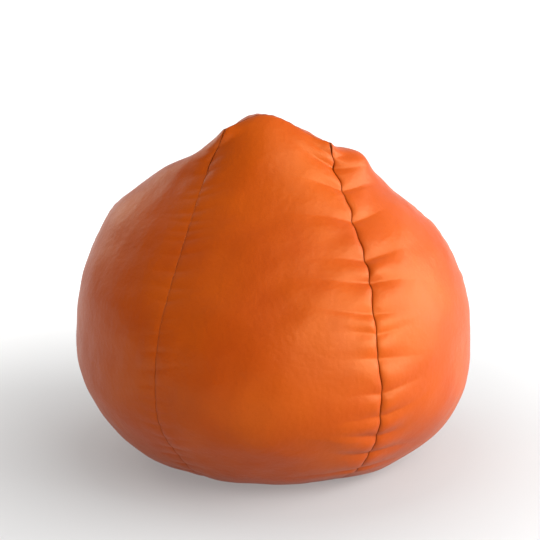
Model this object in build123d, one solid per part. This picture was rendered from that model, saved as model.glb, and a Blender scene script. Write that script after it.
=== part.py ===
from build123d import *
import os
from functools import cache
from math import cos, radians, sin
from typing import NamedTuple

# Bean bag chair, in millimetres. +Z is up, the sitter faces -Y, and the origin is the middle of
# the base, on the floor. Six gores and a six-sided top cap make the cover, a split base panel
# with a long zip closes it, and a sewn liner inside it holds the beads.

# ---------------------------------------------------------------- the shape of the filled bag


class Station(NamedTuple):
    """One level of the bag: its (radius, height) at the back, at the sides and at the front."""
    back: tuple
    side: tuple
    front: tuple


BASE_EDGE = Station((262, 0), (268, 0), (290, 0))
FOOT = Station((356, 50), (352, 44), (376, 45))
LOW_BELLY = Station((420, 115), (413, 113), (440, 106))
BELLY = Station((467, 202), (446, 201), (467, 182))
HIGH_BELLY = Station((460, 288), (452, 294), (462, 256))
SHOULDER = Station((430, 380), (435, 394), (428, 312))
SLOPE_LOW = Station((376, 468), (388, 490), (370, 352))
SLOPE_MID = Station((316, 560), (318, 568), (312, 392))
SLOPE_HIGH = Station((262, 656), (266, 606), (264, 438))
RIM = Station((228, 742), (240, 620), (228, 486))
CAP_EDGE = Station((197, 784), (197, 618), (197, 518))
CAP_MID = Station((100, 728), (100, 638), (100, 576))
CAP_EYE = Station((5, 641), (5, 637), (5, 633))

STATIONS = [BASE_EDGE, FOOT, LOW_BELLY, BELLY, HIGH_BELLY, SHOULDER, SLOPE_LOW, SLOPE_MID,
            SLOPE_HIGH, RIM, CAP_EDGE, CAP_MID, CAP_EYE]
CAP_EDGE_LEVEL = STATIONS.index(CAP_EDGE)
LAST_LEVEL = len(STATIONS) - 1

CAP_CORNER_RADIUS = 228.0     # the six corners of the top cap, seen from above
GORES = 6
GORE_ANGLE = 360 / GORES
SEAT_PRESS_DEPTH = 46.0       # how far the sitter's hips have pressed the seat down
SEAT_PRESS_Y = -285.0
SEAT_PRESS_WIDTH = 290.0      # the press fades out at these distances sideways and lengthways
SEAT_PRESS_LENGTH = 215.0
SEAT_PRESS_FROM = STATIONS.index(SHOULDER)
LEAN = 0.03                   # the bag leans to its +X side by this much of its height,
LEAN_ABOUT = 230.0            # about this level
GORE_STEPS = 4                # a gore is drawn through this many sections and one more

# ---------------------------------------------------------------- layers, from the outside in

COVER_THICKNESS = 1.2         # leatherette
THREAD_DEPTH = 1.6            # outer face of the rows of stitches, behind the seams
THREAD_THICKNESS = 0.8
THREAD_HALF_ANGLE = 0.15      # degrees either side of the seam
LINER_DEPTH = 3.6             # outer face of the liner, below the cover's outer face
LINER_THICKNESS = 0.8
FILL_DEPTH = 8.0              # outer face of the beads
LINER_TO_FILL = 0.6           # between the liner's base and the beads
SETTLED_AT_TOP = 18.0         # the beads have settled this far off the cap,
SETTLED_FROM = STATIONS.index(SLOPE_LOW)
BASE_GAP = 1.2                # between a base panel's rim and the gores round it
LINER_BASE_GAP = 3.2
CAP_GAP = 1.0                 # between the cap's edge and the top of the gores

# ---------------------------------------------------------------- zips

ZIP_TOOTH_PITCH = 4.0
ZIP_TOOTH_LENGTH = 2.4        # along the zip
ZIP_TEETH_HEIGHT = 2.8
ZIP_ROW_INNER = 0.8           # the two rows stand this far from the centre line
ZIP_ROW_OUTER = 2.8
ZIP_SPINE_WIDTH = 0.9
TAPE_THICKNESS = 0.6
TAPE_WIDTH = 12.0
SLIDER_LENGTH = 11.0
SLIDER_HALF_WIDTH = 4.6
SLIDER_PLATE = 0.8
SLIDER_PLATE_GAP = 3.2        # clear height between the slider's two plates
SLIDER_FLANGE = 0.9
SLIDER_LIP = 1.0              # how far each flange reaches in towards the tape
POST_WIDTH = 1.0
POST_LENGTH = 2.6
LUG_THICKNESS = 1.0
LUG_GAP = 3.4
LUG_DROP = 2.8
LUG_HALF_LENGTH = 1.3
PIN_BACK = 1.5                # from the slider's middle
PIN_RADIUS = 0.6
PIN_DROP = 1.6                # pin axis below the slider's lower plate
PIN_CLEARANCE = 0.05
PULL_LENGTH = 26.0
PULL_WIDTH = 6.0
PULL_THICKNESS = 1.2
PULL_NECK_WIDTH = 3.0
PULL_NECK_LENGTH = 6.0
STOP_LENGTH = 4.0


class Zip(NamedTuple):
    """A zip along X under or inside the bag, and the two panels that it joins."""
    name: str
    height: float             # of the middle of the teeth
    half_length: float        # of the tapes
    panel_bottom: float
    panel_thickness: float
    raised_to: float          # the panel's flat strip beside the zip reaches this far from it
    flat_from: float          # and beyond this it is flat on the floor again
    panel_inset: float


COVER_ZIP = Zip("cover", 6.0, 252, 0.0, COVER_THICKNESS, 16, 28, BASE_GAP)
LINER_ZIP = Zip("liner", 14.6, 236, 3.4, LINER_THICKNESS, 18, 40, LINER_BASE_GAP)
PANEL_ZIP_EDGE = 5.4          # the panels stop this far from the zip's centre line
GROOVE_HALF_WIDTH = 43.0      # the hollow that the zips press up into the beads
GROOVE_HEIGHT = 19.0

# ---------------------------------------------------------------- surface of the bag


def by_azimuth(back, side, front, azimuth):
    """Blends three values round the bag. Azimuth 0 is the back, 90 is +X and 180 the front."""
    a = radians(azimuth)
    mean = (back + front) / 4 + side / 2
    return mean + (back - front) / 2 * cos(a) + ((back + front) / 4 - side / 2) * cos(2 * a)


def cap_radius(azimuth):
    """Radius of the six-sided cap's outline, whose corners are on the gore seams."""
    from_middle = (azimuth + GORE_ANGLE / 2) % GORE_ANGLE - GORE_ANGLE / 2
    return CAP_CORNER_RADIUS * cos(radians(GORE_ANGLE / 2)) / cos(radians(from_middle))


def seat_press(radius, azimuth):
    """How far the surface is pressed down at this place, under where the sitter's hips go."""
    x, y = radius * sin(radians(azimuth)), radius * cos(radians(azimuth))
    across, along = x / SEAT_PRESS_WIDTH, (y - SEAT_PRESS_Y) / SEAT_PRESS_LENGTH
    return SEAT_PRESS_DEPTH * max(0, 1 - across ** 2 - along ** 2) ** 2


@cache
def meridian(azimuth):
    """The bag's outline in the upright plane at that azimuth, from the base edge to the cap's
    middle, as a curve in X and Z, and the curve's parameter at each station."""
    points = []
    for level, s in enumerate(STATIONS):
        radius = by_azimuth(s.back[0], s.side[0], s.front[0], azimuth)
        height = by_azimuth(s.back[1], s.side[1], s.front[1], azimuth)
        if level == CAP_EDGE_LEVEL:
            radius = cap_radius(azimuth)
        if level >= SEAT_PRESS_FROM:
            height -= seat_press(radius, azimuth)
        points.append(Vector(radius, 0, height))
    curve = Edge.make_spline(points)
    return curve, [curve.param_at_point(p) for p in points]


def in_space(radius, height, azimuth):
    """A point at that azimuth round the upright axis, leaned sideways with its height."""
    lean = LEAN * (height - LEAN_ABOUT)
    return Vector(radius * sin(radians(azimuth)) + lean, radius * cos(radians(azimuth)), height)


def skin(azimuth, level, depth):
    """(radius, height) at that depth under the bag's surface. Levels count stations, parts
    of one included."""
    curve, parameters = meridian(azimuth)
    below = min(int(level), len(parameters) - 2)
    step = parameters[below + 1] - parameters[below]
    parameter = parameters[below] + (level - below) * step
    place, along = curve.position_at(parameter), curve.tangent_at(parameter)
    return place.X - depth * along.Z, place.Z + depth * along.X


def skin_line(azimuth, first, last, depth):
    """The surface's points at that depth, from the first level to the last in half steps."""
    steps = range(2 * first, 2 * last + 1)
    return [at(azimuth, step / 2, depth) for step in steps]


def shorten(points, start_gap, end_gap):
    """The row of points with its first and last moved inwards along the row."""
    first, last = points[0], points[-1]
    first += (points[1] - first).normalized() * start_gap
    last += (points[-2] - last).normalized() * end_gap
    return [first] + points[1:-1] + [last]


def strip(azimuths, levels, depth, thickness, start_gap=0.0, end_gap=0.0):
    """A curved strip of sheet between the first and last of the azimuths and of the levels."""
    sections = []
    for azimuth in azimuths:
        outer = shorten(skin_line(azimuth, *levels, depth), start_gap, end_gap)
        inner = shorten(skin_line(azimuth, *levels, depth + thickness), start_gap, end_gap)
        sections.append(Wire([
            Edge.make_spline(outer),
            Edge.make_line(outer[-1], inner[-1]),
            Edge.make_spline(inner[::-1]),
            Edge.make_line(inner[0], outer[0]),
        ]))
    return Solid.make_loft(sections)


def spread(middle, half_width, steps):
    """Azimuths in equal steps, half_width either side of the middle one."""
    return [middle + half_width * (2 * i / steps - 1) for i in range(steps + 1)]


def at(azimuth, level, depth):
    """The point at that place on the bag, at that depth under its surface."""
    return in_space(*skin(azimuth, level, depth), azimuth)


def eye_ring(azimuths, depth):
    """The small ring round the cap's middle, moved in along its own axis."""
    ring = [at(azimuth, LAST_LEVEL, 0) for azimuth in azimuths]
    across, along = at(90, LAST_LEVEL, 0) - at(270, LAST_LEVEL, 0), ring[0] - ring[len(ring) // 2]
    normal = across.cross(along).normalized()
    return [place - normal * depth for place in ring]


def cap_middle(depth):
    """The point in the middle of that ring."""
    ring = eye_ring((0, 90, 180, 270), depth)
    return sum(ring, Vector(0, 0, 0)) / len(ring)


def settled(level):
    """How much further in the beads are at that level, where they have settled off the cap."""
    return SETTLED_AT_TOP * min(1, max(0, (level - SETTLED_FROM) / (CAP_EDGE_LEVEL - SETTLED_FROM)))


def filled_bag(depth, base_height):
    """What fills the bag to that depth under its surface, as one solid with a flat base."""
    azimuths = [GORE_ANGLE / GORE_STEPS * i for i in range(GORES * GORE_STEPS)]
    rings = [[in_space(skin(a, 0, depth)[0], base_height, a) for a in azimuths]]
    for step in range(1, 2 * LAST_LEVEL):
        level = step / 2
        level_depth = depth + settled(level)
        rings.append([at(a, level, level_depth) for a in azimuths])
    rings.append(eye_ring(azimuths, depth + SETTLED_AT_TOP))
    return Solid.make_loft([Wire([Edge.make_spline(ring, periodic=True)]) for ring in rings])


# ---------------------------------------------------------------- cover and liner

GORE_NAMES = ["back_gore", "back_right_gore", "front_right_gore",
              "front_gore", "front_left_gore", "back_left_gore"]
GORE_MIDDLES = [-GORE_ANGLE * i for i in range(GORES)]


def gores(depth, thickness):
    """The six gores, the first at the back and the others towards -X, the sitter's right."""
    made = []
    for middle in GORE_MIDDLES:
        azimuths = spread(middle, GORE_ANGLE / 2, GORE_STEPS)
        made.append(strip(azimuths, (0, CAP_EDGE_LEVEL), depth, thickness, end_gap=CAP_GAP))
    return made


def cap(depth, thickness):
    """The six-sided panel on top, a domed sheet drawn through its edge, its dome and its middle."""
    sides = []
    for middle in GORE_MIDDLES[::-1]:
        azimuths = spread(middle, GORE_ANGLE / 2, GORE_STEPS)
        sides.append(Edge.make_spline([at(a % 360, CAP_EDGE_LEVEL, depth) for a in azimuths]))
    levels = [CAP_EDGE_LEVEL + step for step in (0.5, 1, 1.5)]
    dome = [at(GORE_ANGLE / 2 * i, level, depth) for level in levels for i in range(2 * GORES)]
    outer = Face.make_surface(Wire(sides), surface_points=[*dome, cap_middle(depth)])
    return Solid.thicken(outer, -thickness if outer.normal_at(None).Z > 0 else thickness)


def seam_threads():
    """The row of stitches behind each gore seam, as a thin cord of thread."""
    rows = []
    for middle in GORE_MIDDLES:
        azimuths = spread(middle + GORE_ANGLE / 2, THREAD_HALF_ANGLE, 2)
        rows.append(strip(azimuths, (0, CAP_EDGE_LEVEL), THREAD_DEPTH, THREAD_THICKNESS,
                          start_gap=CAP_GAP, end_gap=3 * CAP_GAP))
    return Compound(rows)


def base_outline(inset):
    edge = []
    for azimuth in range(0, 360, 15):
        radius, _ = skin(azimuth, 0, 0)
        edge.append(in_space(radius - inset, 0, azimuth))
    return Face(Wire([Edge.make_spline(edge, periodic=True)]))


def base_panels(z):
    """The two halves of a base, each raised beside the zip into the shallow pleat it lies in."""
    t = z.panel_thickness
    raised = z.height - TAPE_THICKNESS / 2 - t
    reach = 400
    profile = [(PANEL_ZIP_EDGE, raised), (z.raised_to, raised), (z.flat_from, z.panel_bottom),
               (reach, z.panel_bottom), (reach, z.panel_bottom + t),
               (z.flat_from + t / 2, z.panel_bottom + t), (z.raised_to + t / 2, raised + t),
               (PANEL_ZIP_EDGE, raised + t)]
    outline = extrude(base_outline(z.panel_inset), 2 * z.height, dir=(0, 0, 1))
    halves = []
    for side in (1, -1):
        corners = [Vector(-reach, side * y, h) for y, h in profile]
        section = Face(Wire.make_polygon(corners, close=True))
        halves.append(extrude(section, 2 * reach, dir=(1, 0, 0)) & outline)
    return halves


def bead_fill():
    """The beads, as one solid with a groove where the zips press up into them."""
    base_height = LINER_ZIP.panel_bottom + LINER_THICKNESS + LINER_TO_FILL
    groove = Box(1000, 2 * GROOVE_HALF_WIDTH, 2 * GROOVE_HEIGHT)
    return filled_bag(FILL_DEPTH, base_height) - groove


# ---------------------------------------------------------------- zip pieces


def block(x0, x1, y0, y1, z0, z1):
    return Pos((x0 + x1) / 2, (y0 + y1) / 2, (z0 + z1) / 2) * Box(x1 - x0, y1 - y0, z1 - z0)


def zip_tape(z, side):
    inner, outer = ZIP_ROW_OUTER, ZIP_ROW_OUTER + TAPE_WIDTH
    low, high = z.height - TAPE_THICKNESS / 2, z.height + TAPE_THICKNESS / 2
    y0, y1 = sorted((side * inner, side * outer))
    return block(-z.half_length, z.half_length, y0, y1, low, high)


def zip_teeth(z, side):
    """One row of teeth on its spine, drawn as a single outline and given its height."""
    spine = ZIP_ROW_OUTER - ZIP_SPINE_WIDTH
    run = z.half_length - 2 * STOP_LENGTH
    count = int(2 * run / ZIP_TOOTH_PITCH)
    start = -count * ZIP_TOOTH_PITCH / 2
    outline = [(start, ZIP_ROW_OUTER), (start, spine)]
    for i in range(count):
        x = start + (i + 0.5) * ZIP_TOOTH_PITCH
        for edge in (-ZIP_TOOTH_LENGTH / 2, ZIP_TOOTH_LENGTH / 2):
            tooth = [(x + edge, spine), (x + edge, ZIP_ROW_INNER)]
            outline += tooth if edge < 0 else tooth[::-1]
    outline += [(-start, spine), (-start, ZIP_ROW_OUTER)]
    low = z.height - ZIP_TEETH_HEIGHT / 2
    face = Face(Wire.make_polygon([Vector(x, side * y, low) for x, y in outline], close=True))
    return extrude(face, ZIP_TEETH_HEIGHT, dir=(0, 0, 1))


def zip_stop(z, end):
    """The crimped block that joins both rows at one end of the zip."""
    x0 = z.half_length - 2 * STOP_LENGTH + 0.4
    x0, x1 = sorted((end * x0, end * (x0 + STOP_LENGTH)))
    middle = ZIP_ROW_OUTER - 0.2
    return block(x0, x1, -middle, middle, z.height - ZIP_TEETH_HEIGHT / 2,
                 z.height + ZIP_TEETH_HEIGHT / 2)


def slider_middle(z):
    """X of the slider's middle when the zip is closed, at the +X end."""
    return z.half_length - 2 * STOP_LENGTH - SLIDER_LENGTH / 2 - 0.6


def zip_slider(z):
    """Two plates joined by the post that divides the rows, with lugs for the pull below."""
    middle = slider_middle(z)
    x0, x1 = middle - SLIDER_LENGTH / 2, middle + SLIDER_LENGTH / 2
    half_gap = SLIDER_PLATE_GAP / 2
    body = block(middle, middle + POST_LENGTH, -POST_WIDTH / 2, POST_WIDTH / 2,
                 z.height - half_gap, z.height + half_gap)
    for up in (1, -1):
        z0, z1 = sorted((up * half_gap, up * (half_gap + SLIDER_PLATE)))
        plate = block(x0, x1, -SLIDER_HALF_WIDTH, SLIDER_HALF_WIDTH, z.height + z0, z.height + z1)
        upright_edges = plate.edges().filter_by(Axis.Z)
        body += fillet(upright_edges, 2.0)
        z0, z1 = sorted((up * (half_gap - SLIDER_LIP), up * half_gap))
        for side in (1, -1):
            y0, y1 = sorted((side * (SLIDER_HALF_WIDTH - SLIDER_FLANGE), side * SLIDER_HALF_WIDTH))
            body += block(x0 + 2, x1 - 2, y0, y1, z.height + z0, z.height + z1)
    return body


def pin_place(z):
    """The middle of the pin that carries the pull, under the slider."""
    under = z.height - SLIDER_PLATE_GAP / 2 - SLIDER_PLATE
    return Vector(slider_middle(z) - PIN_BACK, 0, under - PIN_DROP)


def pull_mount(z):
    """Two lugs under the slider, and the pin between them."""
    pin = pin_place(z)
    top = pin.Z + PIN_DROP
    lugs = Pos(pin) * Rot(90, 0, 0) * Cylinder(PIN_RADIUS, LUG_GAP + LUG_THICKNESS)
    for side in (1, -1):
        y0, y1 = sorted((side * LUG_GAP / 2, side * (LUG_GAP / 2 + LUG_THICKNESS)))
        lugs += block(pin.X - LUG_HALF_LENGTH, pin.X + LUG_HALF_LENGTH, y0, y1,
                      top - LUG_DROP, top)
    return lugs


def zip_pull(z):
    """The pull tab, which hangs on the slider's pin and lies flat along the zip."""
    neck_half, tab_half = PULL_NECK_WIDTH / 2, PULL_WIDTH / 2
    thickness = PULL_THICKNESS / 2
    tab = block(-PULL_LENGTH, -PULL_NECK_LENGTH, -tab_half, tab_half, -thickness, thickness)
    tab = fillet(tab.edges().filter_by(Axis.Z), 2.0)
    eye_radius = PIN_RADIUS + 0.5
    tab += block(-PULL_NECK_LENGTH - 1, 0, -neck_half, neck_half, -thickness, thickness)
    tab += Rot(90, 0, 0) * Cylinder(eye_radius, PULL_NECK_WIDTH)
    tab -= Rot(90, 0, 0) * Cylinder(PIN_RADIUS + PIN_CLEARANCE, 2 * PULL_NECK_WIDTH)
    grip_hole = Pos(-PULL_LENGTH + 6, 0, 0) * Cylinder(1.5, 4)
    return Pos(pin_place(z)) * (tab - grip_hole)


# ---------------------------------------------------------------- assembly


def assembly():
    nodes = dict(zip(GORE_NAMES, gores(0, COVER_THICKNESS)))
    nodes["top_cap"] = cap(0, COVER_THICKNESS)
    nodes["seam_threads"] = seam_threads()
    nodes["base_panel_back"], nodes["base_panel_front"] = base_panels(COVER_ZIP)
    for name, gore in zip(GORE_NAMES, gores(LINER_DEPTH, LINER_THICKNESS)):
        nodes["liner_" + name] = gore
    nodes["liner_top_cap"] = cap(LINER_DEPTH, LINER_THICKNESS)
    nodes["liner_base_back"], nodes["liner_base_front"] = base_panels(LINER_ZIP)
    nodes["bead_fill"] = bead_fill()
    for z in (COVER_ZIP, LINER_ZIP):
        nodes[z.name + "_zip_tape_back"] = zip_tape(z, 1)
        nodes[z.name + "_zip_tape_front"] = zip_tape(z, -1)
        nodes[z.name + "_zip_teeth_back"] = zip_teeth(z, 1)
        nodes[z.name + "_zip_teeth_front"] = zip_teeth(z, -1)
        nodes[z.name + "_zip_closed_stop"] = zip_stop(z, 1)
        nodes[z.name + "_zip_open_stop"] = zip_stop(z, -1)
    nodes["cover_zip_slider"] = zip_slider(COVER_ZIP) + pull_mount(COVER_ZIP)
    nodes["cover_zip_pull"] = zip_pull(COVER_ZIP)
    nodes["liner_zip_slider"] = zip_slider(LINER_ZIP)
    return nodes


os.makedirs("parts", exist_ok=True)
for node, shape in assembly().items():
    export_step(shape, f"parts/{node}.step")
    print(node, round(shape.volume), shape.is_valid)
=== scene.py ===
# %% [markdown]
# # A sat-in bean bag chair
# The cover is six gores of leatherette, wide at the belly and narrow at both ends, sewn side by
# side, with a six-sided cap on top and a split panel with a zip underneath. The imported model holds
# the true sizes of all of that, as plain sheets. This script keeps those sizes and makes what the
# eye sees: a skin pressed out by the beads, puckered along its seams, with a grain and a soft shine.

# %% The frame and its box
import bpy, math
import numpy as np
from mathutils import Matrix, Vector
from mathutils.bvhtree import BVHTree
from mathutils.kdtree import KDTree


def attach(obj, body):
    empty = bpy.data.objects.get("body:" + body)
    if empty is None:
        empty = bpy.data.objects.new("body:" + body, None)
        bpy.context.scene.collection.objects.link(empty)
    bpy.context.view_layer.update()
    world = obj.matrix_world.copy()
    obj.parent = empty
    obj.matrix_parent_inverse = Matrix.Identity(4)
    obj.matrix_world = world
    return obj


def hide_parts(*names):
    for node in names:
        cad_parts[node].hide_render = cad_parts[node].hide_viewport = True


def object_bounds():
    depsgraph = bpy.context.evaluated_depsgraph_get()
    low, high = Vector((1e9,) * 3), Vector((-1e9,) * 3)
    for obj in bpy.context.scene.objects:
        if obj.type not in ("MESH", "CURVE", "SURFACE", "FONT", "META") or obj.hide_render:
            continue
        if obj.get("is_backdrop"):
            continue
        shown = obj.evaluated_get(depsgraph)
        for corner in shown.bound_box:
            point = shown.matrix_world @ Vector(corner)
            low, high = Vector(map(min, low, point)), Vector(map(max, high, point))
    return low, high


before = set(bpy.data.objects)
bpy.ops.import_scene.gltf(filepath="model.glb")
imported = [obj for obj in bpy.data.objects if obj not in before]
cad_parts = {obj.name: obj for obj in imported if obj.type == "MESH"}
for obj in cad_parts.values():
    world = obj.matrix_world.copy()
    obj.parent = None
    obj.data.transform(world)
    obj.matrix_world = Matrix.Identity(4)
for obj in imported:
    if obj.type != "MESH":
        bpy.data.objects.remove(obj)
cad_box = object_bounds()
print("CAD box, metres:", [round(v, 3) for corner in cad_box for v in corner])

# %% [markdown]
# ## The camera
# A chair like this is best shown from a little above and with a long lens, which keeps its
# proportions. The camera stands behind the chair, three metres away. It comes first, because every
# later choice is judged through it.

# %% The camera
CAMERA_DISTANCE = 3.0
CAMERA_ELEVATION = math.radians(12)
CAMERA_AZIMUTH = math.radians(182)
LENS = 86.8
LOOK_AT = Vector((0.0104, 0, 0.42))
camera_data = bpy.data.cameras.new("camera")
camera_data.lens = LENS
camera = bpy.data.objects.new("camera", camera_data)
bpy.context.scene.collection.objects.link(camera)
away = Vector((math.sin(CAMERA_AZIMUTH) * math.cos(CAMERA_ELEVATION),
               -math.cos(CAMERA_AZIMUTH) * math.cos(CAMERA_ELEVATION), math.sin(CAMERA_ELEVATION)))
camera.location = LOOK_AT + away * CAMERA_DISTANCE
camera.rotation_euler = (-away).to_track_quat("-Z", "Y").to_euler()
bpy.context.scene.camera = camera
print("the camera stands at", [round(v, 2) for v in camera.location])

# %% [markdown]
# ## Working by hand, in code
# An operator acts on whatever is selected, and after loading, everything is. So each step starts
# from nothing selected, and picks what it needs. Points are read and written as arrays, because a
# soft skin has many thousands of them.


# %% Helpers for selecting, reading and writing
def pick(*objects):
    """Selects only these objects, and makes the first one active."""
    bpy.ops.object.select_all(action="DESELECT")
    for o in objects:
        o.select_set(True)
    bpy.context.view_layer.objects.active = objects[0]
    return objects[0]


def points_of(o):
    places = np.zeros(len(o.data.vertices) * 3)
    o.data.vertices.foreach_get("co", places)
    return places.reshape(-1, 3)


def move_points(o, places):
    o.data.vertices.foreach_set("co", np.ascontiguousarray(places).ravel())
    o.data.update()


def apply_all(o):
    pick(o)
    for modifier in list(o.modifiers):
        bpy.ops.object.modifier_apply(modifier=modifier.name)


def merge_doubles(o, distance=1e-5):
    pick(o)
    bpy.ops.object.mode_set(mode="EDIT")
    bpy.ops.mesh.select_all(action="SELECT")
    bpy.ops.mesh.remove_doubles(threshold=distance)
    bpy.ops.object.mode_set(mode="OBJECT")


def smooth_step(low, high, x):
    t = np.clip((x - low) / (high - low), 0, 1)
    return t * t * (3 - 2 * t)


def unit(vectors):
    return vectors / np.maximum(np.linalg.norm(vectors, axis=-1, keepdims=True), 1e-9)


def copy_of_nodes(names, new_name):
    """One new mesh object from copies of some CAD nodes, with their doubled points merged."""
    copies = []
    for name in names:
        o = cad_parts[name].copy()
        o.data = o.data.copy()
        for key in list(o.keys()):
            del o[key]
        o.parent = None
        o.hide_render = False
        bpy.context.scene.collection.objects.link(o)
        copies.append(o)
    whole = pick(*copies)
    if len(copies) > 1:
        bpy.ops.object.join()
    whole.name = whole.data.name = new_name
    merge_doubles(whole)
    return whole


def tree_of(o):
    faces = [tuple(p.vertices) for p in o.data.polygons]
    return BVHTree.FromPolygons([Vector(p) for p in points_of(o)], faces)


GORE_NAMES = ["back_gore", "back_right_gore", "front_right_gore",
              "front_gore", "front_left_gore", "back_left_gore"]
GORE_ANGLE = math.radians(60)
GORE_MIDDLES = [-GORE_ANGLE * i for i in range(len(GORE_NAMES))]
print("helpers ready, for", len(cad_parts), "CAD nodes")

# %% [markdown]
# ## Reading the surface from the CAD sheets
# A packed sheet is triangles, with flats a few centimetres long, which a satin skin would show.
# So its outer face is measured with rays shot in from outside, one upright row of them for each
# azimuth, and a smooth polynomial surface is fitted through what they hit. Azimuth 0 is the back,
# and the rows lean with the bag. A place on a gore is then two numbers: across, from -1 to 1
# between its two seams, and up, from 0 at the base edge to 1 at the cap.

# %% Rays and the fitted surface
LEAN = 0.03
LEAN_ABOUT = 0.23
RAY_CENTRE_HEIGHT = 0.20
RAY_START = 1.5
CENTRE = Vector((LEAN * (RAY_CENTRE_HEIGHT - LEAN_ABOUT), 0, RAY_CENTRE_HEIGHT))
LOWEST_RISE, HIGHEST_RISE, RISE_STEP = -50, 86, 0.5
HALVINGS = 9


def ray_hit(tree, azimuth, rise):
    """The outer face's point that way from the centre, or None past the sheet's ends."""
    way = Vector((math.sin(azimuth) * math.cos(rise), math.cos(azimuth) * math.cos(rise),
                  math.sin(rise)))
    way.x += LEAN * way.z
    place = tree.ray_cast(CENTRE + way * RAY_START, -way)[0]
    return place if place is not None and (place - CENTRE).dot(way) > 0 else None


def outline_at(tree, azimuth, rows):
    """Points at equal steps along the sheet at that azimuth, from its lower to its upper end."""
    rises = [math.radians(a) for a in np.arange(LOWEST_RISE, HIGHEST_RISE, RISE_STEP)]
    found = [(rise, place) for rise in rises if (place := ray_hit(tree, azimuth, rise))]
    ends = []
    for inside, beyond in ((found[0][0], -1), (found[-1][0], 1)):
        outside = inside + beyond * math.radians(RISE_STEP)
        for _ in range(HALVINGS):
            middle = (inside + outside) / 2
            if ray_hit(tree, azimuth, middle):
                inside = middle
            else:
                outside = middle
        ends.append(ray_hit(tree, azimuth, inside))
    line = np.array([ends[0]] + [place for rise, place in found] + [ends[1]])
    along = np.concatenate([[0], np.cumsum(np.linalg.norm(np.diff(line, axis=0), axis=1))])
    return np.stack([np.interp(np.linspace(0, along[-1], rows), along, line[:, k])
                     for k in range(3)], axis=1)


class Skin:
    """A smooth surface through a grid of points, at places across (-1..1) and up (0..1)."""
    ACROSS, UP = 6, 18

    def __init__(self, across, grid):
        up = np.linspace(0, 1, grid.shape[1])
        self.fit = np.stack([np.linalg.pinv(self.basis(across, self.ACROSS)) @ grid[:, :, k]
                             @ np.linalg.pinv(self.basis(2 * up - 1, self.UP)).T for k in range(3)])

    @staticmethod
    def basis(x, degree):
        return np.polynomial.chebyshev.chebvander(x, degree)

    def __call__(self, across, up):
        a = self.basis(np.clip(across, -1, 1), self.ACROSS)
        b = self.basis(2 * np.clip(up, 0, 1) - 1, self.UP)
        return np.einsum("ni,kij,nj->nk", a, self.fit, b)

    def normal(self, across, up, step=0.004):
        along_a = self(across + step, up) - self(across - step, up)
        along_b = self(across, up + step) - self(across, up - step)
        facing = unit(np.cross(along_a, along_b))
        outwards = np.sign(np.sum(facing * (self(across, up) - np.array(CENTRE)), axis=1))
        return facing * outwards[:, None]


# %% Measure the six gores
SKIN_COLUMNS = 21
SKIN_ROWS = 141
EDGE_OF_GORE = 0.998
cover_copy = copy_of_nodes(GORE_NAMES, "cover_copy")
cover_tree = tree_of(cover_copy)
across_steps = np.linspace(-EDGE_OF_GORE, EDGE_OF_GORE, SKIN_COLUMNS)
gore_skins = []
for middle in GORE_MIDDLES:
    columns = [outline_at(cover_tree, middle - a * GORE_ANGLE / 2, SKIN_ROWS) for a in across_steps]
    gore_skins.append(Skin(across_steps, np.array(columns)))
bpy.data.objects.remove(cover_copy)
for name, fitted in zip(GORE_NAMES, gore_skins):
    line = fitted(np.zeros(200), np.linspace(0, 1, 200))
    print(name, "is", round(float(np.linalg.norm(np.diff(line, axis=0), axis=1).sum()), 3), "m long")

# %% [markdown]
# ## The cap as a surface
# The cap is a tilted dome over a hexagon, so each point of its plan has one height. Rays shot
# down along the bag's lean measure it, and one smooth polynomial is fitted through the heights. Its
# places are counted round the bag and in from its edge. At the edge it is drawn the last
# millimetres, at most about a centimetre, to the tops of the gores, as thread would draw it, so that
# the seam closes.

# %% Measure the cap
CAP_CORNER = 0.228
CAP_DEGREE = 10
CAP_AZIMUTHS = np.radians(np.arange(0, 360, 3))
CAP_SHARES = np.linspace(0.02, 0.99, 50)
CAP_RAY_HEIGHT = 2
EDGE_DRAW = 8
cap_copy = copy_of_nodes(["top_cap"], "cap_copy")
cap_tree = tree_of(cap_copy)


def cap_basis(x, y):
    along, over = Skin.basis(x / CAP_CORNER, CAP_DEGREE), Skin.basis(y / CAP_CORNER, CAP_DEGREE)
    return np.stack([along[:, i] * over[:, j] for i in range(CAP_DEGREE + 1)
                     for j in range(CAP_DEGREE + 1 - i)], axis=1)


def cap_radius(azimuth):
    """How far the cap's edge is from its middle, in plan."""
    from_middle = (azimuth + GORE_ANGLE / 2) % GORE_ANGLE - GORE_ANGLE / 2
    return CAP_CORNER * math.cos(GORE_ANGLE / 2) / np.cos(from_middle)


measured = []
for azimuth in CAP_AZIMUTHS:
    for share in CAP_SHARES:
        radius = cap_radius(azimuth) * share
        x, y = radius * math.sin(azimuth), radius * math.cos(azimuth)
        start = Vector((x + LEAN * (CAP_RAY_HEIGHT - LEAN_ABOUT), y, CAP_RAY_HEIGHT))
        place = cap_tree.ray_cast(start, Vector((-LEAN, 0, -1)))[0]
        if place:
            measured.append((x, y, place.z))
measured = np.array(measured)
cap_fit = np.linalg.lstsq(cap_basis(measured[:, 0], measured[:, 1]), measured[:, 2], rcond=None)[0]
bpy.data.objects.remove(cap_copy)


def gore_under(azimuth):
    """The gore beside the cap's edge at that azimuth, and the place across it."""
    number = np.round(-azimuth / GORE_ANGLE).astype(int)
    across = (-number * GORE_ANGLE - azimuth) / (GORE_ANGLE / 2)
    return number % len(GORE_NAMES), np.clip(across, -1, 1)


def at_gore_tops(azimuth, measure):
    """What measure(skin, across, up) gives at the upper edge of the gores, at each azimuth."""
    number, across = gore_under(azimuth)
    found = np.zeros((len(azimuth), 3))
    for k, fitted in enumerate(gore_skins):
        here = number == k
        if here.any():
            found[here] = measure(fitted, across[here], np.ones(here.sum()))
    return found


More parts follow.
